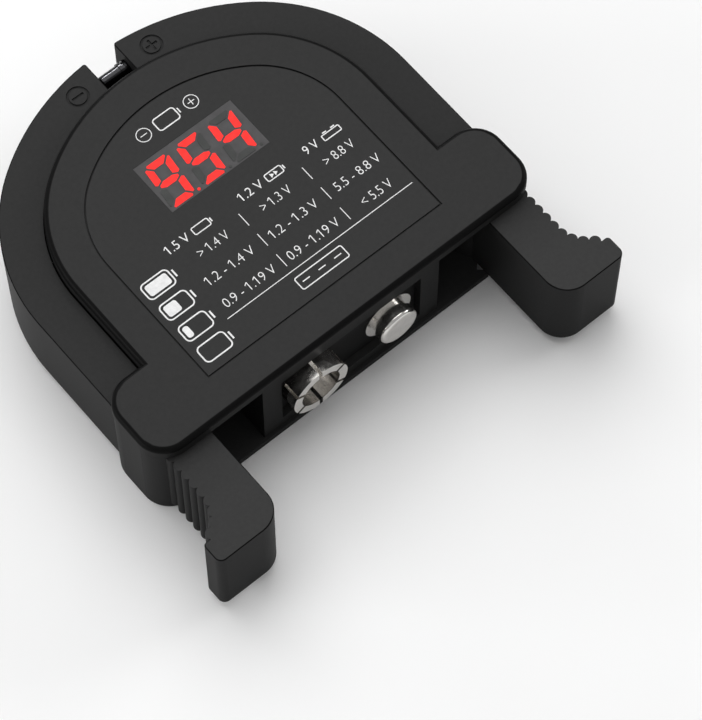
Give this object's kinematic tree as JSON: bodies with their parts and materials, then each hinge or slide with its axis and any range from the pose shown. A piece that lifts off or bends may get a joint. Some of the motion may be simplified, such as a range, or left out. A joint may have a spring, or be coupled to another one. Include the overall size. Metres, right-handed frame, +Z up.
{
  "type": "battery tester",
  "caption": "Hand-held battery tester with an arched body, red LED display, sprung jaw levers that grip round cells and snap contacts for a 9 V block.",
  "frame": {"origin": "middle of the footprint on the surface it lies on", "axes": "+X from the minus jaw to the plus jaw, +Y from the finger arms to the jaw tips, +Z up"},
  "size_m": [0.0634, 0.0634, 0.0168],
  "materials": {
    "cover_plastic": "fine matt spark-eroded texture",
    "lever_plastic": "fine matt spark-eroded texture",
    "label_film": "smooth satin printed film",
    "display_resin": "satin grey resin",
    "segment_lit": "glowing red",
    "segment_off": "dull grey",
    "snap_insulator": "matt",
    "nickel": "nickel plated",
    "steel": "bright steel",
    "strip_brass": "stamped strip",
    "board_laminate": "green solder mask",
    "component_black": "moulded epoxy",
    "component_tan": "ceramic",
    "pin_tin": "tinned"
  },
  "bodies": {
    "body": {"top_cover": "cover_plastic", "bottom_cover": "cover_plastic", "label_sheet": "label_film", "display_module": "display_resin", "display_segments_lit": "segment_lit", "display_segments_off": "segment_off", "snap_holder": "snap_insulator", "snap_stud": "nickel", "snap_socket": "nickel", "pivot_pin_right": "steel", "pivot_pin_left": "steel", "spring_right": "steel", "spring_left": "steel", "case_screws": "steel", "board_screws": "steel", "spring_terminal_right": "strip_brass", "spring_terminal_left": "strip_brass", "snap_lead_right": "strip_brass", "snap_lead_left": "strip_brass", "circuit_board": "board_laminate", "controller_chip": "component_black", "voltage_converter": "component_black", "board_components": "component_tan", "display_pins": "pin_tin"},
    "lever_right": {"jaw_right": "lever_plastic", "contact_plus": "nickel", "contact_collar": "nickel", "contact_strip_right": "strip_brass", "jaw_cover_right": "lever_plastic"},
    "lever_left": {"jaw_left": "lever_plastic", "contact_minus": "nickel", "contact_strip_left": "strip_brass", "jaw_cover_left": "lever_plastic"}
  },
  "joints": [
    {"name": "lever_right_pivot", "type": "hinge", "parent": "body", "child": "lever_right", "pos_m": [0.0255, -0.0123, 0.0081], "axis": [0, 0, -1], "range_deg": [0, 38], "stiffness_Nm_per_rad": 0.03, "springref_deg": -8.59, "deforming": ["spring_right"]},
    {"name": "lever_left_pivot", "type": "hinge", "parent": "body", "child": "lever_left", "pos_m": [-0.0255, -0.0123, 0.0081], "axis": [0, 0, 1], "range_deg": [0, 38], "stiffness_Nm_per_rad": 0.03, "springref_deg": -8.59, "deforming": ["spring_left"]}
  ]
}
